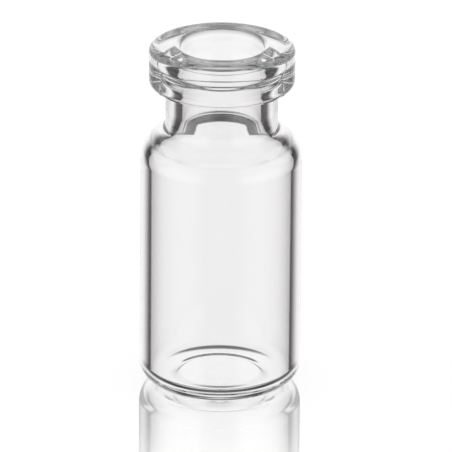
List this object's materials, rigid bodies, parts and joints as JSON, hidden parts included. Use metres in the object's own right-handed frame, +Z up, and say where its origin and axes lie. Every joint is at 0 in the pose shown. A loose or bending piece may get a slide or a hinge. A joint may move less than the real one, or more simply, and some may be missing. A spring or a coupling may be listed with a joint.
{
  "type": "crimp-top glass vial",
  "caption": "Small clear glass sample vial with a crimp flange, a grooved bore, a short neck, a rounded shoulder and a pushed-up base.",
  "frame": {"origin": "centre of the foot ring, on the surface that the vial stands on", "axes": "+Z up along the vial's axis to the sealing face; X and Y are any two directions across, because the vial is round about Z"},
  "size_m": [0.0146, 0.0146, 0.0322],
  "materials": {
    "glass": "clear, fire-polished"
  },
  "bodies": {
    "root": {"vial": "glass"}
  },
  "joints": []
}
